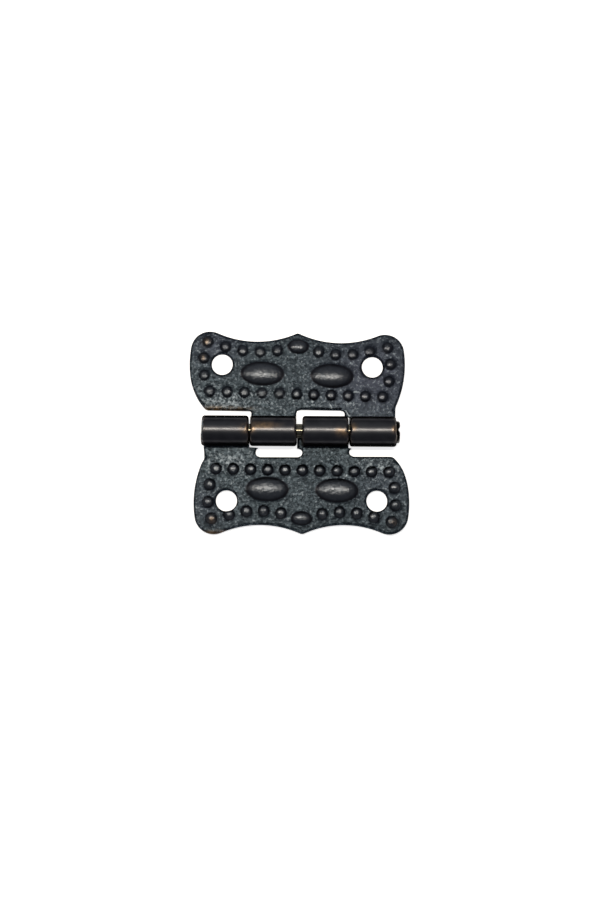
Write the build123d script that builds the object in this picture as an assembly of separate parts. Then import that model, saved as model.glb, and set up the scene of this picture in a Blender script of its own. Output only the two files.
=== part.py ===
from build123d import *
from math import asin, atan2, cos, degrees, hypot, pi, radians, sin, sqrt
import os

# A small butterfly box hinge: two identical stamped steel leaves, each with two tongues
# rolled up into knuckles, and one staked pin through all four knuckles.
# X runs along the pin, Y across the leaves, Z up from the mounting plane.
# The hinge lies open and flat, with the knuckles and the embossed faces up.

# Sheet and pin
SHEET = 1.25               # thickness of the leaf's steel sheet
PIN_DIAMETER = 2.4
PIN_CLEARANCE = 0.08       # radial room for the pin in the rolled knuckles
ROLL_GAP = 0.1             # room between the roll's free end and the face it closes on

# Barrel: the row of knuckles along the pin
BARREL_LENGTH = 33.0       # end to end over the knuckles of two leaves set square
KNUCKLE_PLAY = 1.5         # end play of a knuckle between its two neighbours
KNUCKLE_TOUCH = 0.4        # room left at the knuckles that have slid towards each other
BACK_EDGE = 0.3            # rounding of the knuckles' ends and of the sheet's back edge

# Leaf outline, with heights measured from the plate's near edge beside the barrel
SLOT_ROOM = 1.47           # from the barrel to the plate's near edge in the slot
FREE_DROP = 0.25           # how much nearer the barrel that edge runs at the free corner
WING_FLARE = 1.5           # how far the wing stands out past the barrel's end
WING_RISE = 7.6            # height of the widest point
SIDE_RADIUS = 17.0         # bow of the wing's side
FREE_RADIUS = 9.1          # tighter bow that turns the free side in to its near corner
FREE_RISE = 5.0            # height where the tighter bow begins
LOBE_RADIUS = 3.2          # lobe at each far corner
SCALLOP_RISE = 11.35       # height of the lowest point of a scallop
SCALLOP_DEPTH = 1.57       # centre point above the lowest point of the scallops
SCALLOP_HALF = 7.0         # from the centre point to the lowest point of a scallop
POINT_RADIUS = 0.4         # rounding of the centre point
CORNER_RADIUS = 1.0        # rounding of the plate's free near corner
ROOT_RADIUS = 0.7          # rounding in the corners beside the tongues
NECK_BLEND = 2.0           # rounding where the wing's side runs into the outer tongue
SHOULDER = 0.95            # how much wider the outer tongue's root is than its knuckle
SHOULDER_ROOM = 0.1        # from the barrel to that wider root
FRONT_EDGE = 0.3           # rounding of the plate's front edge

# Screw holes
HOLE_DIAMETER = 3.5
HOLE_INSET = 5.45          # from the wing's widest point
HOLE_RISE = 7.35
HOLE_CHAMFER = 0.25

# Raised dots in a border loop
DOT_DIAMETER = 1.8
DOT_HEIGHT = 0.5
ROW_COUNT = 11             # dots in the straight row beside the barrel
ROW_INSET = 2.0            # from the barrel's end to the row's last dot
ROW_RISE = 2.5
SIDE_INSET = 2.3           # from the wing's side to the dots that follow it
TOP_INSET = 2.0            # from the lobes and scallops to the dots that follow them
SIDE_STEPS = (2.65, 5.55)  # heights above the row of the two dots at each side
LOBE_TURN = 67.0           # direction of the corner dot from the lobe's centre
TOP_FIRST = 3.45           # from the centre line to the first dot under a scallop
TOP_COUNT = 4
EMBOSS_TURN = 0.95         # how far the embossing sits clockwise of the cut outline
EMBOSS_RISE = 3.0          # height of the point it is turned about

# Raised ovals, as half length, half width and height
OVAL = (3.4, 1.9, 0.8)
OVAL_SPREAD = 5.85         # from the centre line
OVAL_RISE = 5.75
SMALL_OVAL = (1.7, 1.15, 0.6)
SMALL_OVAL_RISE = 10.5

# Marks of the punches on the back
MARK_WIDTH = 0.6           # mouth of a mark, as a share of its boss's foot
MARK_DEPTH = 0.8           # depth of a mark, as a share of its boss's height
BOSS_ROOT = 0.2            # how deep a boss is rooted in the sheet

# Facets of the bosses and of their marks
DOT_SIDES = 10
OVAL_SIDES = 20
BOSS_TIERS = 3
MARK_TIERS = 2

# Pin ends
HEAD_DIAMETER = 3.9        # end spread by the staking chisel
HEAD_LENGTH = 0.55
HEAD_EDGE = 0.2
HEAD_ROOM = 0.1            # between the spread end and the last knuckle
GROOVE_WIDTH = 0.7         # chisel mark across the spread end
GROOVE_DEPTH = 0.25
TIP_RECESS = 0.2           # plain end, inside the first knuckle
TIP_CHAMFER = 0.2

# Derived sizes
PIN_RADIUS = PIN_DIAMETER / 2
BORE_RADIUS = PIN_RADIUS + PIN_CLEARANCE
BARREL_RADIUS = BORE_RADIUS + SHEET
NECK_HALF = BARREL_LENGTH / 2
KNUCKLE_LENGTH = (NECK_HALF - KNUCKLE_PLAY) / 2
KNUCKLE_STARTS = (-KNUCKLE_LENGTH, NECK_HALF - KNUCKLE_LENGTH)
LEAF_SHIFT = (KNUCKLE_PLAY - KNUCKLE_TOUCH) / 2
NEAR = BARREL_RADIUS + SLOT_ROOM
WING_HALF = NECK_HALF + WING_FLARE
PITCH = 2 * (NECK_HALF - ROW_INSET) / (ROW_COUNT - 1)
ROW_Y = NEAR + ROW_RISE

# Arcs of the outline: the wing's side, the scallop, and the lobe that touches them both
SCALLOP_RADIUS = (SCALLOP_HALF**2 + SCALLOP_DEPTH**2) / (2 * SCALLOP_DEPTH)
SIDE_CENTRE = Vector(WING_HALF - SIDE_RADIUS, NEAR + WING_RISE)
SCALLOP_CENTRE = Vector(SCALLOP_HALF, NEAR + SCALLOP_RISE + SCALLOP_RADIUS)
POINT = Vector(0, NEAR + SCALLOP_RISE + SCALLOP_DEPTH)


def centre_between(first, first_reach, second, second_reach):
    """Point at the given distances from two others, to the right of the way between them."""
    way = second - first
    along = (first_reach**2 - second_reach**2 + way.length**2) / (2 * way.length)
    across = sqrt(first_reach**2 - along**2)
    unit = way.normalized()
    return first + unit * along + Vector(unit.Y, -unit.X) * across


LOBE_CENTRE = centre_between(
    SIDE_CENTRE, SIDE_RADIUS - LOBE_RADIUS, SCALLOP_CENTRE, SCALLOP_RADIUS + LOBE_RADIUS
)


def side_x(y, inset=0.0):
    """Half width at a height, of the wing's side or of a line that runs inset from it."""
    return SIDE_CENTRE.X + sqrt((SIDE_RADIUS - inset) ** 2 - (y - SIDE_CENTRE.Y) ** 2)


def scallop_y(x, inset=0.0):
    """Height at a distance from the centre line, of the scallop or of a line inset from it."""
    return SCALLOP_CENTRE.Y - sqrt((SCALLOP_RADIUS + inset) ** 2 - (x - SCALLOP_CENTRE.X) ** 2)


def arc_about(centre, start, end):
    """The shorter arc about a centre."""
    middle = ((start - centre).normalized() + (end - centre).normalized()).normalized()
    return ThreePointArc(start, centre + middle * (start - centre).length, end)


def block(left, right, low, high):
    """A rectangle by its four sides."""
    return Pos((left + right) / 2, (low + high) / 2) * Rectangle(right - left, high - low)


def corners(outline, points):
    """The outline's vertices at the given points."""
    return [min(outline.vertices(), key=lambda v: hypot(v.X - x, v.Y - y)) for x, y in points]


def wing_half(near, side):
    """Half of the wing to the right of the centre line, with its side given from below."""
    side_end = SIDE_CENTRE + (LOBE_CENTRE - SIDE_CENTRE).normalized() * SIDE_RADIUS
    lobe_end = SCALLOP_CENTRE + (LOBE_CENTRE - SCALLOP_CENTRE).normalized() * SCALLOP_RADIUS
    return make_face(
        [
            Line((0, near), side[0] @ 0),
            *side,
            arc_about(SIDE_CENTRE, side[-1] @ 1, side_end),
            arc_about(LOBE_CENTRE, side_end, lobe_end),
            arc_about(SCALLOP_CENTRE, lobe_end, POINT),
            Line(POINT, (0, near)),
        ]
    )


def leaf_outline():
    """The wing and the roots of its two tongues, as cut from the sheet."""
    bow_start = Vector(side_x(NEAR + FREE_RISE), NEAR + FREE_RISE)
    near_right = Vector(side_x(NEAR), NEAR)
    tongue_side = [arc_about(SIDE_CENTRE, near_right, bow_start)]
    free_centre = bow_start + (SIDE_CENTRE - bow_start).normalized() * FREE_RADIUS
    free_y = NEAR - FREE_DROP
    free_x = free_centre.X + sqrt(FREE_RADIUS**2 - (free_y - free_centre.Y) ** 2)
    free_side = [arc_about(free_centre, Vector(free_x, free_y), bow_start)]
    inner, outer = KNUCKLE_STARTS
    root_top = NEAR + CORNER_RADIUS
    shoulder_y = BARREL_RADIUS + SHOULDER_ROOM
    outline = (
        wing_half(NEAR, tongue_side)
        + mirror(wing_half(free_y, free_side), Plane.YZ)
        + block(inner, inner + KNUCKLE_LENGTH, 0, root_top)
        + block(outer, NECK_HALF, 0, root_top)
        + block(outer - SHOULDER, NECK_HALF, shoulder_y, root_top)
    )
    neck_y = SIDE_CENTRE.Y - sqrt(SIDE_RADIUS**2 - (NECK_HALF - SIDE_CENTRE.X) ** 2)
    roots = [(inner, free_y), (inner + KNUCKLE_LENGTH, NEAR), (outer - SHOULDER, NEAR)]
    outline = fillet(corners(outline, roots), ROOT_RADIUS)
    outline = fillet(corners(outline, [(-free_x, free_y)]), CORNER_RADIUS)
    outline = fillet(corners(outline, [(NECK_HALF, neck_y)]), NECK_BLEND)
    return fillet(corners(outline, [(POINT.X, POINT.Y)]), POINT_RADIUS)


def knuckle(start):
    """The end of a tongue, rolled from the back round the pin until it nearly meets the front."""
    end_turn = degrees(asin((SHEET + ROLL_GAP) / BARREL_RADIUS - 1))
    sweep = -(270 - end_turn)
    outside = CenterArc((0, BARREL_RADIUS), BARREL_RADIUS, -90, sweep)
    inside = CenterArc((0, BARREL_RADIUS), BORE_RADIUS, -90, sweep)
    section = make_face(
        [outside, Line(outside @ 1, inside @ 1), inside, Line(inside @ 0, outside @ 0)]
    )
    return Pos(start, 0, 0) * extrude(Plane.YZ * section, KNUCKLE_LENGTH)


def cushion(half_length, half_width, height, sides, tiers):
    """A boss on the face z = 0: an ellipsoid's cap in flat-sided tiers, rooted a little below."""
    steep = 2 * atan2(height, half_width)
    turns = [steep * (1 - i / tiers) for i in range(tiers)]
    rise = height / (cos(turns[-1]) - cos(steep))
    levels = [(1.0, -BOSS_ROOT)]
    levels += [(sin(turn) / sin(steep), rise * (cos(turn) - cos(steep))) for turn in turns]
    around = [2 * pi * (i + 0.5) / sides for i in range(sides)]
    rings = [
        [Vector(share * half_length * cos(a), share * half_width * sin(a), z) for a in around]
        for share, z in levels
    ]
    bands = [rings[0], rings[-1]]
    for low, high in zip(rings, rings[1:]):
        bands += [[low[i - 1], low[i], high[i], high[i - 1]] for i in range(sides)]
    return Solid(Shell([Face(Wire.make_polygon(band)) for band in bands]))


def dot_places():
    """Centres of the dots: a straight row by the barrel, then a loop inside the outline."""
    row = [((i - (ROW_COUNT - 1) / 2) * PITCH, ROW_Y) for i in range(ROW_COUNT)]
    loop = [(side_x(ROW_Y + step, SIDE_INSET), ROW_Y + step) for step in SIDE_STEPS]
    reach = LOBE_RADIUS - TOP_INSET
    turn = radians(LOBE_TURN)
    loop.append((LOBE_CENTRE.X + reach * cos(turn), LOBE_CENTRE.Y + reach * sin(turn)))
    for i in range(TOP_COUNT):
        x = TOP_FIRST + i * PITCH
        loop.append((x, scallop_y(x, TOP_INSET)))
    return row + loop + [(-x, y) for x, y in loop]


def screw_hole():
    """A plain hole through the sheet with a broken edge at the front."""
    radius = HOLE_DIAMETER / 2
    drill = Cylinder(radius, 4 * SHEET)
    rim = Pos(0, 0, SHEET) * Cone(
        radius, radius + HOLE_CHAMFER, HOLE_CHAMFER, align=(Align.CENTER, Align.CENTER, Align.MAX)
    )
    return drill + rim


def leaf():
    """One stamped leaf with the wing towards +Y and the pin's axis above Y = 0."""
    blank = extrude(leaf_outline(), SHEET)
    front = [
        e for e in blank.faces().sort_by(Axis.Z)[-1].edges()
        if min(v.Y for v in e.vertices()) > NEAR - FREE_DROP - 1e-3
    ]
    blank = chamfer(front, FRONT_EDGE)
    body = blank + [knuckle(start) for start in KNUCKLE_STARTS]
    back = [
        e for e in body.edges()
        if e.geom_type == GeomType.CIRCLE and abs(e.radius - BARREL_RADIUS) < 1e-6
    ]
    body = chamfer(back, BACK_EDGE)

    about = Pos(0, NEAR + EMBOSS_RISE)
    askew = about * Rotation(0, 0, -EMBOSS_TURN) * about.inverse()
    dots = [askew * Pos(x, y) for x, y in dot_places()]
    ovals = [askew * Pos(side * OVAL_SPREAD, NEAR + OVAL_RISE) for side in (-1, 1)]
    small = [askew * Pos(0, NEAR + SMALL_OVAL_RISE)]
    dot = (DOT_DIAMETER / 2, DOT_DIAMETER / 2, DOT_HEIGHT)
    bosses, marks = [], []
    stamps = ((dot, dots, DOT_SIDES), (OVAL, ovals, OVAL_SIDES), (SMALL_OVAL, small, OVAL_SIDES))
    for (length, width, height), places, sides in stamps:
        boss = Pos(0, 0, SHEET) * cushion(length, width, height, sides, BOSS_TIERS)
        mark_size = (MARK_WIDTH * length, MARK_WIDTH * width, MARK_DEPTH * height)
        mark = cushion(*mark_size, sides // 2, MARK_TIERS)
        bosses += [place * boss for place in places]
        marks += [place * mark for place in places]

    holes = [
        Pos(side * (WING_HALF - HOLE_INSET), NEAR + HOLE_RISE) * screw_hole() for side in (-1, 1)
    ]
    return body + bosses - marks - holes


def pin():
    """A round pin along X, spread and grooved at the right end by a staking chisel."""
    first = -NECK_HALF + LEAF_SHIFT + TIP_RECESS
    last = NECK_HALF - LEAF_SHIFT + HEAD_ROOM
    lying = Rotation(0, 90, 0)
    low = (Align.CENTER, Align.CENTER, Align.MIN)
    shaft = Cylinder(PIN_RADIUS, last - first, align=low)
    shaft = chamfer(shaft.edges().sort_by(Axis.Z)[0], TIP_CHAMFER)
    head = Cylinder(HEAD_DIAMETER / 2, HEAD_LENGTH, align=low)
    head = chamfer(head.edges().filter_by(GeomType.CIRCLE), HEAD_EDGE)
    groove = Pos(HEAD_LENGTH, 0, 0) * extrude(
        Plane.XY * Polygon(
            (-GROOVE_DEPTH, 0), (GROOVE_DEPTH, -GROOVE_WIDTH), (GROOVE_DEPTH, GROOVE_WIDTH), align=None
        ),
        HEAD_DIAMETER,
        both=True,
    )
    spread = Pos(last, 0, 0) * (lying * head - groove)
    return Pos(0, 0, BARREL_RADIUS) * (Pos(first, 0, 0) * (lying * shaft) + spread)


stamping = leaf()
nodes = {
    "upper_leaf": Pos(-LEAF_SHIFT, 0, 0) * stamping,
    "lower_leaf": Pos(LEAF_SHIFT, 0, 0) * Rotation(0, 0, 180) * stamping,
    "hinge_pin": pin(),
}

os.makedirs("parts", exist_ok=True)
for name, solid in nodes.items():
    export_step(solid, f"parts/{name}.step")
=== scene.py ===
import math

import bpy
import numpy as np
from mathutils import Matrix, Vector


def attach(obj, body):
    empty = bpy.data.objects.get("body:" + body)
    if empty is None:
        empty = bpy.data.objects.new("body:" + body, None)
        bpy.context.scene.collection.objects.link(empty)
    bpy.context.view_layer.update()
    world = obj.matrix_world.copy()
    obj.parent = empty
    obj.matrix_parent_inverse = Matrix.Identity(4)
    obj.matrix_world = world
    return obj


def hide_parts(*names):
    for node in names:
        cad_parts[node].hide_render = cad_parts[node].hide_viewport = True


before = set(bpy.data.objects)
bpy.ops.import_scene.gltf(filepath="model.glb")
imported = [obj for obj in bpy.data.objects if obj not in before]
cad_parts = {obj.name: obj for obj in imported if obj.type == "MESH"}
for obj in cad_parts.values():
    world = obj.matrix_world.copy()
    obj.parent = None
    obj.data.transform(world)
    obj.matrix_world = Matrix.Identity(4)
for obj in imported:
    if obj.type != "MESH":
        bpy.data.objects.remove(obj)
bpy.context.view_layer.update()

# Leaves: two stampings of one shape in mild steel sheet, the lower one turned half round.
# The die raises the dots and ovals and grains the face, two tongues are rolled back over the
# face into knuckles, and the whole leaf is tumbled, blackened over copper and rubbed back.
SHEET = 1.25  # thickness in millimetres, like the other sizes of the leaves and the pin
BARREL = 2.53  # outside radius of a knuckle
ROLL_TURN = math.radians(297.8)
NEAR, FREE_NEAR = 4.0, 3.75  # near edge at the tongues and at the free corner
RISE_FROM, RISE_RUN = -8.2, 8.9  # where the near edge rises from the one to the other
INNER, OUTER = (-7.5, 0.0), (9.0, 16.5)  # the two tongues along the pin
SHIFT = 0.55  # from the leaf's own middle to the hinge's
ROOT_R = 0.7  # fillet beside a tongue
SIDE_AT, SIDE_R = (1.0, 11.6), 17.0  # bow of the wing's side
FREE_AT, FREE_R, FREE_TOP = (8.807, 10.392), 9.1, 9.0  # tighter bow of the free side
CORNER_AT, CORNER_R, CORNER_TOP = np.array([-14.619, 4.75]), 1.0, 4.053  # free near corner
CORNER_TURN = math.radians(-112.9)
NECK_AT, NECK_R, NECK_TOP = (18.5, 4.201), 2.0, 4.98  # hollow over the outer tongue
SCALLOP_AT, SCALLOP_R = (7.0, 31.74), 16.39
POINT_AT, POINT_R, POINT_HALF = 16.81, 1.0, 0.43  # blunt point between the scallops
LOBE_R = 3.2  # rounded far corner
HOLE_AT, HOLE_R = (12.55, 11.35), 1.75
EDGE_FRONT, EDGE_BACK = 0.45, 0.34  # rounding of the sheet's edges

# the lobe touches the bow of the side from within and the scallop from without
way = np.subtract(SCALLOP_AT, SIDE_AT)
span = np.hypot(*way)
along = ((SIDE_R - LOBE_R) ** 2 - (SCALLOP_R + LOBE_R) ** 2 + span**2) / (2 * span)
across = math.sqrt((SIDE_R - LOBE_R) ** 2 - along**2)
LOBE_AT = SIDE_AT + way / span * along + np.array([way[1], -way[0]]) / span * across
LOBE_LOW = SIDE_AT + (LOBE_AT - SIDE_AT) * SIDE_R / (SIDE_R - LOBE_R)
LOBE_HIGH = SCALLOP_AT + (LOBE_AT - SCALLOP_AT) * SCALLOP_R / (SCALLOP_R + LOBE_R)
LOBE_TIP = LOBE_AT + LOBE_R * math.sqrt(0.5)
CORNER_TIP = CORNER_AT + CORNER_R * np.array([math.cos(CORNER_TURN), math.sin(CORNER_TURN)])


def ease(t):
    """A smooth step: nought below 0, one above 1, t^2 (3 - 2t) between."""
    t = np.clip(t, 0.0, 1.0)
    return t * t * (3 - 2 * t)


def circle_side(at, radius, y):
    """Half chord of a circle at the heights y, nought above and below it."""
    return np.sqrt(np.maximum(radius**2 - (y - at[1]) ** 2, 0.0))


def wing_side(y):
    """Half width of the wing: the bow of its side, then the lobe of the far corner."""
    return np.where(
        y < LOBE_LOW[1],
        SIDE_AT[0] + circle_side(SIDE_AT, SIDE_R, y),
        LOBE_AT[0] + circle_side(LOBE_AT, LOBE_R, y),
    )


def left_edge(y):
    """The wing's free side: the rounded near corner, a tight bow, then the wing's side."""
    corner = CORNER_AT[0] - circle_side(CORNER_AT, CORNER_R, y)
    bow = -FREE_AT[0] - circle_side(FREE_AT, FREE_R, y)
    return np.where(y < CORNER_TOP, corner, np.where(y < FREE_TOP, bow, -wing_side(y)))


def right_edge(y):
    """The side over the outer tongue: straight, a hollow blend, then the wing's side."""
    blend = NECK_AT[0] - circle_side(NECK_AT, NECK_R, y)
    return np.where(y < NECK_AT[1], OUTER[1], np.where(y < NECK_TOP, blend, wing_side(y)))


def far_edge(x):
    """The far edge: a scallop each side of a blunt centre point, ending on the lobes."""
    x = np.abs(x)
    lobe = LOBE_AT[1] + np.sqrt(np.maximum(LOBE_R**2 - (x - LOBE_AT[0]) ** 2, 0.0))
    scallop = SCALLOP_AT[1] - np.sqrt(SCALLOP_R**2 - (x - SCALLOP_AT[0]) ** 2)
    blunt = POINT_AT - x**2 / (2 * POINT_R)
    return np.where(x > LOBE_HIGH[0], lobe, np.where(x < POINT_HALF, blunt, scallop))


def near_edge(x):
    """The near edge beside the barrel: straight and a little nearer at the free corner, which
    is rounded, and level over the slot and the outer tongue."""
    corner = CORNER_AT[1] - np.sqrt(np.maximum(CORNER_R**2 - (x - CORNER_AT[0]) ** 2, 0.0))
    level = FREE_NEAR + (NEAR - FREE_NEAR) * np.clip((x - RISE_FROM) / RISE_RUN, 0, 1)
    return np.where(x < CORNER_AT[0], corner, level)


def stations(low, high, step, tight_low, tight_high):
    """Places from low to high at an even step, closing up towards an edge that is rounded."""
    close = np.array([0.0, 0.035, 0.085, 0.15, 0.23, 0.32])
    first = close if tight_low else np.array([0.0])
    last = close if tight_high else np.array([0.0])
    start, end = low + first[-1], high - last[-1]
    even = np.linspace(start, end, max(int(round((end - start) / step)), 1) + 1)
    return np.concatenate([low + first[:-1], even, (high - last[:-1])[::-1]])


CELL = 0.135  # a cell of the wing's grid
WING_DEEP = 13.0
NO_EDGE = 9.0  # a distance that no rounding reaches


def wing_grid(x_near):
    """The wing as a patch blended from its four edges: the blend of the near and far edge, plus
    the blend of the two sides, less the blend of the four corners. Round each screw hole the
    square rings of cells are drawn out to circles. Also says which cells are sheet."""
    rows = stations(0.0, WING_DEEP, CELL, True, True) / WING_DEEP
    share = (x_near - x_near[0]) / (x_near[-1] - x_near[0])
    low = np.stack([x_near, near_edge(x_near)], 1)
    x_far = LOBE_TIP[0] * (2 * share - 1)
    high = np.stack([x_far, far_edge(x_far)], 1)
    y_left = CORNER_TIP[1] + rows * (LOBE_TIP[1] - CORNER_TIP[1])
    left = np.stack([left_edge(y_left), y_left], 1)
    y_right = NEAR + rows * (LOBE_TIP[1] - NEAR)
    right = np.stack([right_edge(y_right), y_right], 1)
    u, v = share[None, :, None], rows[:, None, None]
    wing = (1 - v) * low[None] + v * high[None] + (1 - u) * left[:, None] + u * right[:, None]
    wing -= (1 - v) * ((1 - u) * low[0] + u * low[-1]) + v * ((1 - u) * high[0] + u * high[-1])

    rim, block = 12, 22  # cells from a hole's centre to its rim, and to the last drawn ring
    keep = np.ones((len(rows) - 1, len(x_near) - 1), bool)
    b, a = np.mgrid[-block:block + 1, -block:block + 1]
    t = np.clip((np.maximum(abs(a), abs(b)) - rim) / (block - rim), 0, 1)
    reach = HOLE_R + (0.45 * t + 0.55 * t**2) * (block * CELL - HOLE_R)
    rings = np.stack([a, b], 2) * (reach / np.maximum(np.hypot(a, b), 1))[..., None]
    blend = ease(t)[..., None]
    for side in (-1, 1):
        centre = np.array([side * HOLE_AT[0], HOLE_AT[1]])
        away = np.hypot(*np.moveaxis(wing - centre, 2, 0))
        j, i = np.unravel_index(away.argmin(), away.shape)
        part = np.s_[j - block:j + block + 1, i - block:i + block + 1]
        wing[part] = (1 - blend) * (centre + rings) + blend * wing[part]
        keep[j - rim:j + rim, i - rim:i + rim] = False
    return wing, keep


def wing_gaps(wing, inner_root, outer_root):
    """How far each place on the wing lies inside its nearest edge: the least of its distances to
    the bows, scallops, lobes, near edge and holes, each a circle or a line. Where a tongue grows
    from the near edge, the root's ends count instead of the edge."""
    x, y = wing[..., 0], wing[..., 1]
    side = SIDE_R - np.hypot(abs(x) - SIDE_AT[0], y - SIDE_AT[1])
    bow = FREE_R - np.hypot(x + FREE_AT[0], y - FREE_AT[1])
    bow = np.where(x < -FREE_AT[0], bow, NO_EDGE)
    side = np.where((x < 0) & (y < FREE_TOP), bow, side)
    scallop = np.hypot(abs(x) - SCALLOP_AT[0], y - SCALLOP_AT[1]) - SCALLOP_R
    out = np.stack([abs(x) - LOBE_AT[0], y - LOBE_AT[1]], 2)
    low, high = LOBE_LOW - LOBE_AT, LOBE_HIGH - LOBE_AT
    past_low = out @ np.array([low[1], -low[0]]) < 0
    before_high = out @ np.array([high[1], -high[0]]) > 0
    lobe = LOBE_R - np.hypot(out[..., 0], out[..., 1])
    far = np.where(past_low & before_high, lobe, np.minimum(side, scallop))
    neck = np.where(y < NECK_TOP, right_edge(y) - x, NO_EDGE)
    root = np.maximum(np.minimum(x - inner_root[0], inner_root[1] - x), 0)
    root = root + np.clip(x - outer_root, 0, NO_EDGE)
    near = np.hypot(root, y - near_edge(x))
    corner = CORNER_R - np.hypot(x - CORNER_AT[0], y - CORNER_AT[1])
    near = np.where((x < CORNER_AT[0]) & (y < CORNER_AT[1]), corner, near)
    hole = np.hypot(abs(x) - HOLE_AT[0], y - HOLE_AT[1]) - HOLE_R
    return np.maximum(np.minimum.reduce([far, neck, near, hole]), 0)


def tongue_sides(
    s, outer, free_step, slot_step, step_from, step_to, end_out, end_from, end_way, tab
):
    """Where a tongue's two sides lie along s: on the roll they bulge a little, more on the turn
    past end_from, the root is a hair wider, and then the first side steps out to a shoulder and
    both run in fillets to the wing. The tab stands out on the inner tongue's second side and
    takes a rounded corner off each shoulder."""
    root_wide, root_from, root_to = 0.16, -1.5, 2.9
    tab_from, corner_r, corner_to, corner_share = 0.2, 0.7, 3.3, 0.42
    end_bulge, turn_bulge = 0.06, 0.11
    first, last = OUTER if outer else INNER
    fillet = ROOT_R - np.sqrt(ROOT_R**2 - np.clip(s - NEAR + ROOT_R, 0, ROOT_R) ** 2)
    shoulder = (slot_step if outer else free_step) * ease((s - step_from) / (step_to - step_from))
    root = root_wide * ease(s - root_from) * ease((root_to - s) / 0.4)
    corner = 1 - np.sqrt(1 - np.clip((corner_to - s) / corner_r, 0, 1) ** 2)
    low = first - np.maximum(shoulder, root) - fillet
    low = low - corner_share * tab * corner * (s > step_to)
    high = last + (0 * s if outer else fillet + tab * ease((s - tab_from) / 0.5) * corner)
    rolled = ease(-s / 2.0)
    bulge = end_bulge * rolled + turn_bulge * ease((end_from + s) / 0.7 * end_way) * rolled
    return low - bulge, high + bulge + (end_out if outer else 0.0) * rolled


def grid_quads(numbers):
    """The four corners of each cell in a grid of point numbers, in turn round the cell."""
    return np.stack([numbers[:-1, :-1], numbers[:-1, 1:], numbers[1:, 1:], numbers[1:, :-1]], 2)


def leaf_blank(cut):
    """The flat blank as three joined grids in x and s, the length along the sheet from under the
    pin's axis: the wing's patch, and for each tongue a strip whose places are shared out between
    its two sides. Gives the places, how far each lies inside its nearest edge, and the cells."""
    inner_root = INNER[0] - cut["free_step"] - ROOT_R, INNER[1] + ROOT_R
    outer_root = OUTER[0] - cut["slot_step"] - ROOT_R
    columns = [
        stations(CORNER_TIP[0], inner_root[0], CELL, True, False),
        stations(*inner_root, CELL, True, True),
        stations(inner_root[1], outer_root, CELL, False, False),
        stations(outer_root, OUTER[1], CELL, True, True),
    ]
    starts = np.cumsum([0] + [len(c) - 1 for c in columns])
    wing, keep = wing_grid(np.concatenate([columns[0]] + [c[1:] for c in columns[1:]]))
    numbers = np.arange(wing.shape[0] * wing.shape[1]).reshape(wing.shape[:2])
    place, quads = [wing.reshape(-1, 2)], [grid_quads(numbers)[keep]]
    gaps = [wing_gaps(wing, inner_root, outer_root).ravel()]

    end = -BARREL * ROLL_TURN
    below, above = 2.52, 2.58  # rows close to each side of the lower leaf's steep shoulders
    slope_from = 2.7  # from here to the wing the rows lean to its near edge
    roll = stations(end, 0.0, 0.17, True, False)
    s = np.concatenate([roll, np.linspace(0, below, 18)[1:], np.linspace(above, NEAR, 10)])[:, None]
    for k, outer in ((1, False), (3, True)):
        low, high = tongue_sides(s, outer, **cut)
        part = (columns[k] - columns[k][0]) / (columns[k][-1] - columns[k][0])
        lean = np.clip((s - slope_from) / (NEAR - slope_from), 0, 1)
        x = low + part * (high - low)
        y = s + (near_edge(columns[k]) - NEAR) * lean
        gap = np.minimum(np.minimum(x - low, high - x), y - end)
        base = sum(map(len, place))
        fresh = base + np.arange((len(s) - 1) * len(part)).reshape(-1, len(part))
        joined = np.vstack([fresh, numbers[0, starts[k]:starts[k + 1] + 1]])
        place.append(np.stack([x, y], 2)[:-1].reshape(-1, 2))
        gaps.append(gap[:-1].ravel())
        quads.append(grid_quads(joined).reshape(-1, 4))

    used, quads = np.unique(np.vstack(quads), return_inverse=True)
    return np.vstack(place)[used], np.concatenate(gaps)[used], quads.reshape(-1, 4)


# The die's pattern: a row of dots beside the barrel, a loop of dots round each end, two ovals
# and a small one under the centre point. Half length, half width and height of each kind.
DOT, OVAL, SMALL_OVAL = (0.99, 0.99, 0.5), (3.62, 2.0, 0.8), (1.78, 1.15, 0.58)
PITCH = 2.9
ROW_COUNT, ROW_AT = 11, 6.5
SIDE_INSET, SCALLOP_INSET, LOBE_INSET = 2.3, 2.0, 1.2
LOBE_DOT_TURN = math.radians(67)
row_dots = [((i - ROW_COUNT // 2) * PITCH, ROW_AT) for i in range(ROW_COUNT)]
side_dots = [
    (SIDE_AT[0] + circle_side(SIDE_AT, SIDE_R - SIDE_INSET, y), y) for y in (9.15, 12.05)
]
lobe_dot = LOBE_AT + LOBE_INSET * np.array([math.cos(LOBE_DOT_TURN), math.sin(LOBE_DOT_TURN)])
top_dots = [
    (x, SCALLOP_AT[1] - math.sqrt((SCALLOP_R + SCALLOP_INSET) ** 2 - (x - SCALLOP_AT[0]) ** 2))
    for x in 3.45 + PITCH * np.arange(4)
]
loop_dots = side_dots + [tuple(lobe_dot)] + top_dots
BOSSES = np.array(
    [(x, y, *DOT) for x, y in row_dots]
    + [(s * x, y, *DOT) for x, y in loop_dots for s in (-1, 1)]
    + [(s * 5.85, 9.75, *OVAL) for s in (-1, 1)]
    + [(0.0, 14.5, *SMALL_OVAL)]
)
PATTERN_TURN, PATTERN_AT = math.radians(0.95), 7.0  # clockwise, and the height it turns about
RIGHT_HALF = 0.986  # the pattern's right half is drawn in by this share


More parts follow.
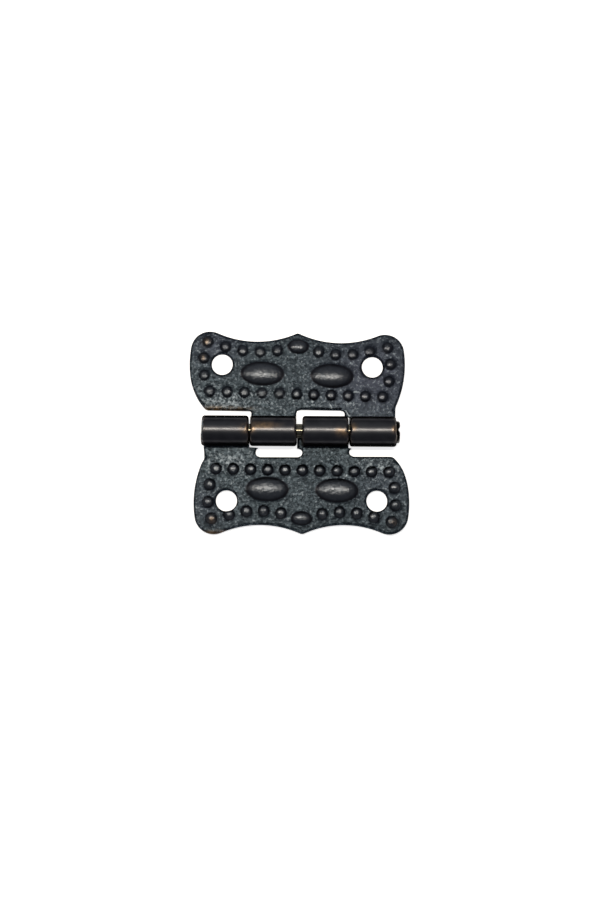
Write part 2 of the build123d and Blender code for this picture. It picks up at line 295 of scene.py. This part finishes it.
def stamped(x, y, low, press, size, share, power):
    """Height of the bosses: H (1 - q^power) inside each oval foot, eased into the face outside,
    where q is the distance from the centre over the foot's half size. The highest boss counts.
    The whole pattern sits a degree clockwise of the cut outline, and nearer the pin by low. The
    dots are pressed to their own share of the height and size. Also says where that boss is a
    dot."""
    oval_power = 2.3
    skirt_high, skirt_run, foot_ease, foot_drop = 0.055, 0.32, 0.07, 0.01
    cx, cy, a, b, high = (BOSSES[:, k, None] for k in range(5))
    c, s = math.cos(PATTERN_TURN), math.sin(PATTERN_TURN)
    y = y + low - PATTERN_AT
    x, y = c * x - s * y, PATTERN_AT + s * x + c * y
    x = np.where(x > 0, x / RIGHT_HALF, x)
    dot = a == b
    share = share * np.where(dot, size, 1.0)
    q = np.hypot((x[None] - cx) / (a * share), (y[None] - cy) / (b * share))
    cap = 1 - np.minimum(q, 2.0) ** np.where(dot, power, oval_power)
    cap = high * np.where(dot, press, 1.0) * cap
    on_dot, cap = dot[cap.argmax(axis=0), 0], cap.max(axis=0)
    beside = np.maximum((q - 1) * b * share, 0.0).min(axis=0)
    skirt = skirt_high * np.exp(-((beside / skirt_run) ** 2))
    return 0.5 * (cap + np.sqrt(cap**2 + foot_ease**2)) - foot_drop + skirt, on_dot


def rounding(inward, radius):
    """How far a face drops near an edge: a quarter circle of that radius."""
    run = np.clip(radius - inward, 0.0, radius)
    return radius - np.sqrt(radius**2 - run**2)


def lattice_noise(x, y, cell, seed):
    """Smooth noise from -1 to 1: random values on a square lattice, eased between its points.
    The lattice repeats after size cells, and shift keeps its numbers above nought."""
    size, shift = 97, 1000.0
    table = np.random.default_rng(seed).uniform(-1.0, 1.0, (size, size))
    u, v = x / cell + shift, y / cell + shift
    i, j = np.floor(u).astype(int), np.floor(v).astype(int)
    a, b = ease(u - i), ease(v - j)
    i0, i1, j0, j1 = i % size, (i + 1) % size, j % size, (j + 1) % size
    low = table[i0, j0] * (1 - a) + table[i1, j0] * a
    high = table[i0, j1] * (1 - a) + table[i1, j1] * a
    return low * (1 - b) + high * b


def spots(x, s, table):
    """Soft round marks on the blank: the strongest of k exp(-q^2), where q is the distance from
    a mark's centre over its half sizes and k its strength."""
    cx, cs, a, b, k = (np.array(table)[:, n, None] for n in range(5))
    return (k * np.exp(-(((x[None] - cx) / a) ** 2) - ((s[None] - cs) / b) ** 2)).max(axis=0)


def strokes(x, s, table):
    """Scratches on the blank: 1 on each line from (x0, s0) to (x1, s1), fading to nought at 1.3
    times its half width."""
    x0, s0, x1, s1, wide = (np.array(table)[:, n, None] for n in range(5))
    run, rise = x1 - x0, s1 - s0
    t = np.clip(((x[None] - x0) * run + (s[None] - s0) * rise) / (run**2 + rise**2), 0, 1)
    away = np.hypot(x[None] - x0 - t * run, s[None] - s0 - t * rise)
    return np.clip(1.3 - away / wide, 0, 1).max(axis=0)


def set_in_hinge(x, s, turn, right, out, free_out, slot_out, neck_right, left_share):
    """The wing stands a hair off true in the hinge: turned by a small angle t, as x + t s and
    s - t x, moved right and out, and with its near edges let out, its neck moved and its left
    half stretched by a share. All this fades away towards the tongues."""
    held = ease((s - 1.5) / 2.4)  # nought on the rolls, one from 3.9 mm outwards
    near = held * ease((7.5 - s) / 3.6)  # one along the near edge, nought far from it
    at_slot = ease(x / 0.7) * ease((8.05 - x) / 0.7)
    edge_out = free_out * ease((-7.5 - x) / 0.9) + slot_out * at_slot
    aside = neck_right * ease((x - 14.5) / 1.5) * ease((5.2 - s) / 1.0)
    aside = aside + left_share * np.minimum(x, 0) * ease((s - 4.0) / 4.0)
    turn = math.radians(turn)
    return x + held * (turn * s + right + aside), s + held * (out - turn * x) + near * edge_out


WAVES = ((0.014, 1.5), (0.022, 0.5), (0.016, 0.3))  # depth and cell of the face's waves
PUNCH_SHARE = 0.8  # how deep the punches mark the back, by the height of the bosses


def leaf_mesh(
    name, sign, seed, cut, set_by, pressed, dot_flank_gloss_and_shade, bronze_at, worn_at, violet_at, scratched
):
    """Front, back and walls of a leaf from the blank, in place in the hinge, in metres. The front
    and back stand apart by the sheet, with rounded edges, and where s is below nought the strip
    turns round the pin: angle = -s / R, at the radius R less the height in the sheet."""
    place, gaps, quads = leaf_blank(cut)
    x, s = place.T
    high, on_dot = stamped(x, s, **pressed, share=1.0, power=3.0)
    dent = stamped(x, s, **pressed, share=0.6, power=2.0)[0]
    violet = spots(x, s, violet_at)
    # the die leaves the face a little wavy, less so on bosses, on the rolls, at the edges and
    # where it is violet
    wavy = sum(
        depth * lattice_noise(x, s, cell, seed + k) for k, (depth, cell) in enumerate(WAVES)
    )
    calm = (1.0 - 0.35 * np.clip(high / 0.2, 0, 1)) * np.clip(s / NEAR, 0, 1)
    calm = calm * np.clip(gaps / 0.4, 0, 1) * (1.0 - 0.5 * violet)
    front = SHEET + high + wavy * calm - rounding(gaps, EDGE_FRONT)
    back = rounding(gaps, EDGE_BACK + 0.16 * ease(-s / 2.0))
    back = back + PUNCH_SHARE * np.clip(dent - 0.03, 0, None)

    # what the finish reads: rubbed places, then how smooth and oily the bosses and knuckles are;
    # the smooth mark also carries painted shade, darkest on the bosses' flanks and less on their
    # tops
    end_rub = 0.3 * np.exp(-gaps / 0.25) * ease(-s / 1.5)
    bronze = np.maximum(spots(x, s, bronze_at), end_rub)
    worn = np.maximum(spots(x, s, worn_at), 1.6 * strokes(x, s, scratched))
    raised = ease((high - 0.08) / 0.6) * (s > 1.0)
    # painted shade: the bosses' flanks take the full smooth mark and so the blackest colour, their
    # tops less; the upper leaf's dots get paler flanks
    foot, top = np.clip((high - 0.045) / 0.04, 0, 1), np.clip(1.75 * raised, 0, 1)
    flank_gloss_and_shade = np.where(on_dot, dot_flank_gloss_and_shade, 1.0)
    smooth, film = foot * (flank_gloss_and_shade + (0.7 - flank_gloss_and_shade) * top), 0.7 * foot * top
    crown = np.exp(-(((s + BARREL * np.pi) / 2.2) ** 2))

    x, s = set_in_hinge(x, s, **set_by)
    rolled = np.clip(-s / 0.5, 0, 1)
    count = len(x)
    x, s, w = np.tile(x, 2), np.tile(s, 2), np.concatenate([front, back])
    angle = np.clip(-s, 0, None) / BARREL
    radius = BARREL - w
    y = np.where(s < 0, -radius * np.sin(angle), s)
    z = np.where(s < 0, BARREL - radius * np.cos(angle), w)
    points = np.stack([sign * (x - SHIFT), sign * y, z], 1) * 0.001

    # the walls stand on the sides of cells that no other cell shares
    step = np.concatenate([quads[:, [i, (i + 1) % 4]] for i in range(4)])
    code, reverse = step[:, 0] * count + step[:, 1], step[:, 1] * count + step[:, 0]
    rim = step[~np.isin(code, reverse)]
    wall = np.stack([rim[:, 1], rim[:, 0], rim[:, 0] + count, rim[:, 1] + count], 1)
    faces = np.vstack([quads, quads[:, ::-1] + count, wall])

    mesh = bpy.data.meshes.new(name)
    mesh.vertices.add(len(points))
    mesh.vertices.foreach_set("co", points.ravel())
    mesh.loops.add(faces.size)
    mesh.loops.foreach_set("vertex_index", faces.ravel().astype(np.int32))
    mesh.polygons.add(len(faces))
    mesh.polygons.foreach_set("loop_start", np.arange(0, faces.size, 4, dtype=np.int32))
    mesh.polygons.foreach_set("use_smooth", np.ones(len(faces), bool))
    marks = {
        "bronze": np.concatenate([bronze, bronze * rolled]),
        "worn": np.concatenate([worn, worn * rolled]),
        "violet": np.concatenate([violet, violet]),
        "smooth": np.concatenate([smooth, np.ones(count)]),
        "film": np.concatenate([film, crown]),
        "raised": np.concatenate([raised, 0.34 * crown**2]),
    }
    for label, values in marks.items():
        mark = mesh.attributes.new(label, "FLOAT", "POINT")
        mark.data.foreach_set("value", values.astype(np.float32))
    mesh.update(calc_edges=True)
    mesh.validate()
    return mesh


def linear(hex_colour):
    """An sRGB hex colour as linear red, green, blue and alpha."""
    part = np.array([int(hex_colour[i:i + 2], 16) for i in (1, 3, 5)]) / 255
    part = np.where(part <= 0.04045, part / 12.92, ((part + 0.055) / 1.055) ** 2.4)
    return (*part.tolist(), 1.0)


def add_node(tree, kind, settings=None, **links):
    """Adds one node. Settings are its own properties, and each link is a socket's value or its
    source. A socket goes by its name, or by an underscore and its number."""
    node = tree.nodes.new(kind)
    for key, value in (settings or {}).items():
        setattr(node, key, value)
    for key, value in links.items():
        number = key[1:].isdigit()
        socket = node.inputs[int(key[1:]) if number else key.replace("_", " ")]
        if isinstance(value, bpy.types.NodeSocket):
            tree.links.new(value, socket)
        else:
            socket.default_value = value
    return node


# Blackened steel: an oxide black over a copper flash, grained and cool grey on the die's face,
# smoother and blacker on bosses and knuckles, with painted shade darkening the bosses' flanks,
# and with bare specks and bronze where it has rubbed.
# The real grain is finer than the render can show, so it is drawn coarser, in metres here.
GRAIN, GRAIN_DEEP = 0.00046, 0.00008
WRINKLE = 0.0008
RUB_PATCH = 0.0011
COLOURS, MULTIPLIED = {"data_type": "RGBA"}, {"data_type": "RGBA", "blend_type": "MULTIPLY"}
TIMES, TIMES_PLUS = {"operation": "MULTIPLY"}, {"operation": "MULTIPLY_ADD"}
black = bpy.data.materials.new("blackened_steel")
black.use_nodes = True
tree = black.node_tree
shader = tree.nodes["Principled BSDF"]
place = add_node(tree, "ShaderNodeTexCoord").outputs["Object"]
bronze, worn, violet, smooth, film, raised = (
    add_node(tree, "ShaderNodeAttribute", {"attribute_name": label}).outputs["Fac"]
    for label in ("bronze", "worn", "violet", "smooth", "film", "raised")
)

# the grained face, cool grey and turning violet and more even towards one side
tint = add_node(
    tree, "ShaderNodeMix", COLOURS, _0=violet, _6=linear("#333b41"), _7=linear("#30343e")
).outputs[2]
grit = add_node(
    tree, "ShaderNodeTexNoise", Vector=place, Scale=1 / GRAIN, Detail=2.0, Roughness=0.6
).outputs["Fac"]
speck = add_node(
    tree, "ShaderNodeMapRange", Value=grit, From_Min=0.3, From_Max=0.7, To_Min=0.5, To_Max=1.5
).outputs["Result"]
even = add_node(tree, "ShaderNodeMath", TIMES_PLUS, _0=violet, _1=-0.55, _2=1.0).outputs[0]
face = add_node(tree, "ShaderNodeMix", MULTIPLIED, _0=even, _6=tint, _7=speck).outputs[2]

# the smoother black of bosses and knuckles, rubbed greyer on their tops; on the bosses' flanks
# this black is painted shade
rolled = add_node(tree, "ShaderNodeMath", {"operation": "POWER"}, _0=smooth, _1=2.0).outputs[0]
black_skin_and_flank_shade = add_node(
    tree, "ShaderNodeMix", COLOURS, _0=rolled, _6=face, _7=linear("#2b2b2f")
).outputs[2]
top = add_node(tree, "ShaderNodeMath", TIMES, _0=raised, _1=even).outputs[0]
top = add_node(tree, "ShaderNodeMath", TIMES, _0=top, _1=0.62).outputs[0]
black_skin_and_flank_shade = add_node(tree, "ShaderNodeMix", COLOURS, _0=top, _6=black_skin_and_flank_shade, _7=linear("#555a60")).outputs[2]

# bare steel on the crests of the grain and its fine wrinkles, most where the face is worn
wrinkle = add_node(
    tree, "ShaderNodeTexNoise", Vector=place, Scale=1 / WRINKLE, Detail=2.0, Roughness=0.55
).outputs["Fac"]
fold = add_node(tree, "ShaderNodeMath", {"operation": "SUBTRACT"}, _0=wrinkle, _1=0.5).outputs[0]
fold = add_node(tree, "ShaderNodeMath", {"operation": "ABSOLUTE"}, _0=fold).outputs[0]
crest = add_node(
    tree, "ShaderNodeMapRange", Value=fold, From_Min=0.0, From_Max=0.07, To_Min=1.0, To_Max=0.0
).outputs["Result"]
thin = add_node(tree, "ShaderNodeMath", TIMES_PLUS, _0=worn, _1=0.3, _2=grit).outputs[0]
thin = add_node(tree, "ShaderNodeMath", TIMES_PLUS, _0=crest, _1=0.16, _2=thin).outputs[0]
thin = add_node(tree, "ShaderNodeMath", TIMES_PLUS, _0=rolled, _1=-0.3, _2=thin).outputs[0]
bare = add_node(
    tree, "ShaderNodeMapRange", Value=thin, From_Min=0.62, From_Max=0.88
).outputs["Result"]
steel = add_node(tree, "ShaderNodeMix", COLOURS, _0=bare, _6=black_skin_and_flank_shade, _7=linear("#6e777e")).outputs[2]

# bronze in patches, where the black has rubbed through to the copper
patch = add_node(
    tree, "ShaderNodeTexNoise", Vector=place, Scale=1 / RUB_PATCH, Detail=4.0
).outputs["Fac"]
patchy = add_node(
    tree, "ShaderNodeMapRange", Value=patch, From_Min=0.3, From_Max=0.58
).outputs["Result"]
rubbed = add_node(tree, "ShaderNodeMath", TIMES, _0=bronze, _1=patchy).outputs[0]
colour = add_node(
    tree, "ShaderNodeMix", COLOURS, _0=rubbed, _6=steel, _7=linear("#8a7050")
).outputs[2]
tree.links.new(colour, shader.inputs["Base Color"])

# gloss: metal with a film of oil, uneven over the smooth places, and the grain in relief
shader.inputs["Metallic"].default_value = 1.0
dull = add_node(
    tree, "ShaderNodeMapRange", Value=smooth, To_Min=0.41, To_Max=0.31
).outputs["Result"]
tree.links.new(dull, shader.inputs["Roughness"])
oil = add_node(
    tree, "ShaderNodeMapRange", Value=patch, From_Min=0.35, From_Max=0.62, To_Min=0.4, To_Max=1.0
).outputs["Result"]
film = add_node(tree, "ShaderNodeMath", TIMES, _0=film, _1=oil).outputs[0]
tree.links.new(film, shader.inputs["Coat Weight"])
shader.inputs["Coat Roughness"].default_value = 0.24
shader.inputs["Specular Tint"].default_value = linear("#404044")
height = add_node(tree, "ShaderNodeMath", TIMES_PLUS, _0=crest, _1=0.4, _2=grit).outputs[0]
level = add_node(
    tree, "ShaderNodeMapRange", Value=rolled, To_Min=0.95, To_Max=0.06
).outputs["Result"]
level = add_node(tree, "ShaderNodeMath", TIMES, _0=level, _1=even).outputs[0]
bump = add_node(
    tree, "ShaderNodeBump", Height=height, Strength=level, Distance=GRAIN_DEEP
).outputs["Normal"]
tree.links.new(bump, shader.inputs["Normal"])
tree.links.new(bump, shader.inputs["Coat Normal"])

# The upper leaf's dots by their share of height: the row, then the loop left and right in turn.
uneven = np.ones((len(BOSSES), 1))
uneven[:25, 0] = (
    1.0, 0.9, 0.85, 0.62, 0.7, 1.0, 1.05, 1.0, 0.85, 0.85, 0.9,
    0.9, 0.9, 1.0, 1.0, 0.85, 0.95, 1.0, 1.0, 0.8, 0.9, 1.0, 0.75, 0.85, 0.6,
)
# How each leaf was cut, set in the hinge and pressed, and how smooth its dots' flanks are and how
# dark they are painted as painted shade. Marks are the centre in x and s, two half sizes and a
# strength, and scratches two ends and a half width.
leaves = {
    "upper_leaf": dict(
        sign=1.0,
        seed=10,
        cut=dict(
            free_step=0.0, slot_step=0.95, step_from=2.7, step_to=2.8,
            end_out=-0.02, end_from=7.5, end_way=1.0, tab=0.0,
        ),
        set_by=dict(
            turn=0.67, right=0.0, out=-0.12,
            free_out=-0.16, slot_out=-0.04, neck_right=0.0, left_share=0.0,
        ),
        pressed=dict(low=0.0, press=0.84 * uneven, size=0.92),
        dot_flank_gloss_and_shade=0.72,
        bronze_at=[
            (-12.6, 3.85, 3.4, 0.4, 0.7), (-15.2, 15.1, 0.5, 0.5, 0.4),
            (-15.7, 12.3, 0.45, 0.45, 0.45), (-5.6, -8.7, 2.2, 0.5, 1.0),
            (-7.2, -8.2, 0.5, 0.9, 0.7), (9.3, -8.4, 0.6, 0.6, 0.8), (16.3, -8.2, 0.5, 0.7, 0.8),
        ],
        worn_at=[(-12.0, 5.2, 5.0, 2.0, 0.58), (0.0, 5.0, 7.0, 1.5, 0.2)],
        violet_at=[(13.0, 10.0, 9.0, 8.0, 1.0), (-14.0, 15.0, 5.0, 4.0, 0.8)],
        scratched=[
            (9.5, 7.0, 9.9, 7.15, 0.16), (5.5, 5.05, 6.0, 4.05, 0.09),
            (8.15, 3.85, 8.9, 2.75, 0.14),
        ],
    ),
    "lower_leaf": dict(
        sign=-1.0,
        seed=40,
        cut=dict(
            free_step=0.3, slot_step=1.25, step_from=2.52, step_to=2.575,
            end_out=0.12, end_from=8.4, end_way=-1.0, tab=0.9,
        ),
        set_by=dict(
            turn=-0.24, right=0.05, out=0.085,
            free_out=0.205, slot_out=0.06, neck_right=-0.2, left_share=-0.014,
        ),
        pressed=dict(low=0.21, press=1.05, size=0.96),
        dot_flank_gloss_and_shade=1.0,
        bronze_at=[
            (14.0, 16.7, 3.0, 0.35, 0.5), (14.9, 14.6, 0.5, 0.5, 0.5),
            (-15.2, 14.9, 0.5, 0.5, 0.4), (9.35, -7.8, 0.7, 0.7, 1.0), (-6.8, -8.4, 1.1, 0.7, 1.0),
        ],
        worn_at=[
            (12.0, 5.0, 5.0, 1.8, 0.54), (-13.0, 5.5, 4.0, 1.5, 0.5), (16.6, -8.0, 0.35, 3.5, 2.2),
        ],
        violet_at=[(-14.0, 9.0, 5.0, 5.0, 0.4), (16.0, 12.0, 3.0, 3.0, 0.5)],
        scratched=[(-6.6, 8.15, -7.55, 7.0, 0.09), (-12.4, 7.6, -12.6, 6.9, 0.09)],
    ),
}
for body, values in leaves.items():
    leaf = bpy.data.objects.new(body + "_stamping", leaf_mesh(body + "_stamping", **values))
    bpy.context.collection.objects.link(leaf)
    leaf.data.materials.append(black)
    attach(leaf, body)
    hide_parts(body)

# Pin: a length of brassed steel wire pushed through the four knuckles. The left end is plain,
# and the right end is spread by a chisel, which leaves a groove across a ragged black head.
WIRE_R, WIRE_FROM, WIRE_TO = 1.2, -16.05, 16.05
DOME = 0.3
HEAD_R, HEAD_TO = 1.85, 16.6
GROOVE_AT, GROOVE_HALF, GROOVE_DEEP = 0.1, 0.5, 0.28
SCUFF = 0.0006  # in metres
quarter = np.linspace(0, 0.5, 12) * np.pi
bulged = np.interp(np.linspace(0, 1, 8)[1:], [0, 0.3, 0.75, 1], [1.93, 1.95, 1.93, 1.78])
along_pin = np.concatenate([
    WIRE_FROM - DOME * np.cos(quarter), np.linspace(-16.0, WIRE_TO, 90), np.full(5, WIRE_TO),
    np.linspace(WIRE_TO, HEAD_TO, 8)[1:], np.full(12, HEAD_TO),
])
reach = np.concatenate([
    WIRE_R * np.sin(quarter), np.full(90, WIRE_R), np.linspace(WIRE_R, HEAD_R, 6)[1:],
    bulged, np.linspace(1.7, 0.0, 12),
])
turns = np.linspace(0, 2 * np.pi, 73)[:-1]


def pin_surface():
    """A turned profile round the axis: y = r cos a, z = r sin a above the axis, with the head's
    radius uneven round the turn and a V-groove pressed into its end along Z."""
    a = turns[None, :]
    head = ((along_pin >= WIRE_TO) & (reach > WIRE_R + 0.05))[:, None]
    ragged = 1 - 0.035 * (1 + np.sin(3 * a + 0.6)) * head - 0.02 * (1 + np.sin(7 * a)) * head
    r = reach[:, None] * ragged
    x = np.broadcast_to(along_pin[:, None], r.shape)
    y, z = r * np.cos(a), BARREL + r * np.sin(a)
    groove = np.clip(1 - np.abs(y - GROOVE_AT) / GROOVE_HALF, 0, 1) * GROOVE_DEEP
    x = x - groove * (x > HEAD_TO - 0.3)
    return np.stack([x, y, z], 2) * 0.001


points = pin_surface()
rings, tips = points[1:-1].reshape(-1, 3), points[[0, -1], 0]
grid = np.arange(len(rings)).reshape(-1, len(turns))
closed = np.hstack([grid, grid[:, :1]])
plain_end = np.stack([np.full(len(turns), len(rings)), closed[0, 1:], grid[0]], 1)
spread_end = np.stack([grid[-1], closed[-1, 1:], np.full(len(turns), len(rings) + 1)], 1)
faces = grid_quads(closed).reshape(-1, 4).tolist() + plain_end.tolist() + spread_end.tolist()
mesh = bpy.data.meshes.new("pin_wire")
mesh.from_pydata(np.vstack([rings, tips]).tolist(), [], faces)
mesh.polygons.foreach_set("use_smooth", np.ones(len(faces), bool))
# painted shade: the side of the wire towards the lower leaf is painted darker, joined here with the
# real black of the spread head
lower_side_painted_shade = 0.5 * ease((-np.cos(turns) - 0.1) / 0.5)
black_head_and_shade = np.maximum(np.clip((along_pin - 15.9) / 0.2, 0, 1)[:, None], lower_side_painted_shade[None, :])
black_head_and_shade = np.concatenate([black_head_and_shade[1:-1].ravel(), black_head_and_shade[[0, -1], 0]]).astype(np.float32)
mesh.attributes.new("blackened_head_and_shade", "FLOAT", "POINT").data.foreach_set("value", black_head_and_shade)
pin = bpy.data.objects.new("pin_wire", mesh)
bpy.context.collection.objects.link(pin)

# Brassed wire: a thin brass flash on drawn steel, bright where the knuckles rub it, and painted
# darker brown, without its coat, on the side towards the lower leaf as painted shade.
brass = bpy.data.materials.new("brassed_wire")
brass.use_nodes = True
tree = brass.node_tree
shader = tree.nodes["Principled BSDF"]
place = add_node(tree, "ShaderNodeTexCoord").outputs["Object"]
black_head_and_shade = add_node(tree, "ShaderNodeAttribute", {"attribute_name": "blackened_head_and_shade"}).outputs["Fac"]
scuff = add_node(
    tree, "ShaderNodeTexNoise", Vector=place, Scale=1 / SCUFF, Detail=3.0
).outputs["Fac"]
shade = add_node(tree, "ShaderNodeValToRGB", Fac=scuff)
shade.color_ramp.elements[0].position = 0.3
shade.color_ramp.elements[0].color = linear("#2a2417")
shade.color_ramp.elements[1].position = 0.7
shade.color_ramp.elements[1].color = linear("#8d866f")
colour = add_node(
    tree, "ShaderNodeMix", COLOURS, _0=black_head_and_shade, _6=shade.outputs["Color"], _7=linear("#1d1b1a")
).outputs[2]
tree.links.new(colour, shader.inputs["Base Color"])
shader.inputs["Metallic"].default_value = 1.0
dull = add_node(
    tree, "ShaderNodeMapRange", Value=scuff, To_Min=0.13, To_Max=0.2
).outputs["Result"]
tree.links.new(dull, shader.inputs["Roughness"])
bright = add_node(tree, "ShaderNodeMath", {"operation": "SUBTRACT"}, _0=1.0, _1=black_head_and_shade).outputs[0]
tree.links.new(bright, shader.inputs["Coat Weight"])
shader.inputs["Coat Roughness"].default_value = 0.1
pin.data.materials.append(brass)
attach(pin, "lower_leaf")
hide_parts("hinge_pin")

# Floor: a wide sheet of plain white opal under the hinge, lit a little from beneath like a
# copy table, so that the shadows on it are faint.
bpy.ops.mesh.primitive_plane_add(size=4.0, location=(0, 0, -0.00003))
floor = bpy.context.object
floor.name = "floor"
card = bpy.data.materials.new("white_opal")
card.use_nodes = True
shader = card.node_tree.nodes["Principled BSDF"]
shader.inputs["Base Color"].default_value = linear("#f4f4f2")
shader.inputs["Roughness"].default_value = 0.9
shader.inputs["Emission Color"].default_value = linear("#ffffff")
shader.inputs["Emission Strength"].default_value = 0.75
floor.data.materials.append(card)

# Light: a warm strip lamp close overhead, a little beyond the hinge and to its left, and a wide
# soft panel farther back, in a dim room whose light is cooler.
world = bpy.data.worlds.new("room")
world.use_nodes = True
world.node_tree.nodes["Background"].inputs["Color"].default_value = linear("#eef1ff")
world.node_tree.nodes["Background"].inputs["Strength"].default_value = 0.2
bpy.context.scene.world = world
lamp = bpy.data.lights.new("strip", "AREA")
lamp.shape = "RECTANGLE"
lamp.size, lamp.size_y = 0.12, 0.010
lamp.energy = 0.085
lamp.color = linear("#fff4e4")[:3]
strip = bpy.data.objects.new("strip", lamp)
strip.location = (-0.018, 0.010, 0.098)
bpy.context.collection.objects.link(strip)
soft = bpy.data.lights.new("panel", "AREA")
soft.shape = "RECTANGLE"
soft.size, soft.size_y = 0.5, 0.3
soft.energy = 0.09
panel = bpy.data.objects.new("panel", soft)
panel.location = (0.0, 0.25, 0.25)
panel.rotation_euler = (math.radians(-45), 0, 0)
bpy.context.collection.objects.link(panel)

# Camera: almost straight above, leaning a little to the lower leaf, at arm's length and rolled
# by a hair. The frame is 900 pixels high, each 0.166 mm at the hinge.
DISTANCE = 0.30
FRAME_PIXELS, PIXEL = 900, 0.000166
SENSOR = 36.0
LEAN, CAMERA_ROLL = math.radians(7.0), math.radians(0.37)
aim = Vector((0.000132, -0.0030, 0.00125))
away = Vector((0, -math.sin(LEAN), math.cos(LEAN)))
lens = bpy.data.cameras.new("camera")
lens.sensor_fit = "VERTICAL"
lens.sensor_height = SENSOR
lens.lens = SENSOR * DISTANCE / (FRAME_PIXELS * PIXEL)
lens.clip_start, lens.clip_end = 0.005, 10.0
camera = bpy.data.objects.new("camera", lens)
camera.matrix_world = (
    Matrix.Translation(aim + away * DISTANCE)
    @ Matrix.Rotation(LEAN, 4, "X")
    @ Matrix.Rotation(CAMERA_ROLL, 4, "Z")
)
bpy.context.collection.objects.link(camera)
bpy.context.scene.camera = camera
bpy.context.scene.view_settings.view_transform = "Standard"
